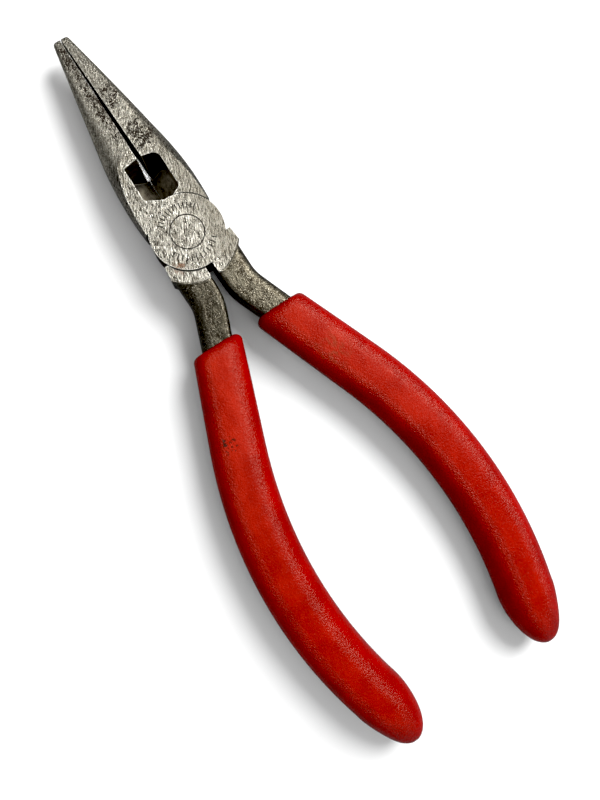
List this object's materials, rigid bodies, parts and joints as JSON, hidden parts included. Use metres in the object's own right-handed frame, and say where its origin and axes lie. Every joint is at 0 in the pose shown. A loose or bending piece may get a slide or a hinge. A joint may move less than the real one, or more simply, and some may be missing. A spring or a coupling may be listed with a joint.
{
  "type": "needle nose pliers",
  "caption": "Needle nose pliers: long tapered jaws with a side cutter, crossed at a riveted lap joint, on bowed handles with thick dipped grips.",
  "frame": {"origin": "on the pivot axis, in the plane of the joint's back face", "axes": "+Y from the joint to the jaw tips, +Z along the pivot axis out of the front face, +X to the right seen from the front; the tool is closed"},
  "size_m": [0.0714, 0.1998, 0.0136],
  "materials": {
    "forged_steel": "ground faces bright and brushed along the tool, forged necks dark oxide",
    "rivet_steel": "ground flush with the joint's faces",
    "red_vinyl": "soft dipped vinyl, semi-gloss with an orange-peel skin"
  },
  "bodies": {
    "lower_body": {"lower_half": "forged_steel", "pivot_rivet": "rivet_steel", "left_grip": "red_vinyl"},
    "upper_body": {"upper_half": "forged_steel", "right_grip": "red_vinyl"}
  },
  "joints": [
    {"name": "pivot", "type": "hinge", "parent": "lower_body", "child": "upper_body", "pos_m": [0, 0, 0.0055], "axis": [0, 0, 1], "range_deg": [0, 46]}
  ]
}
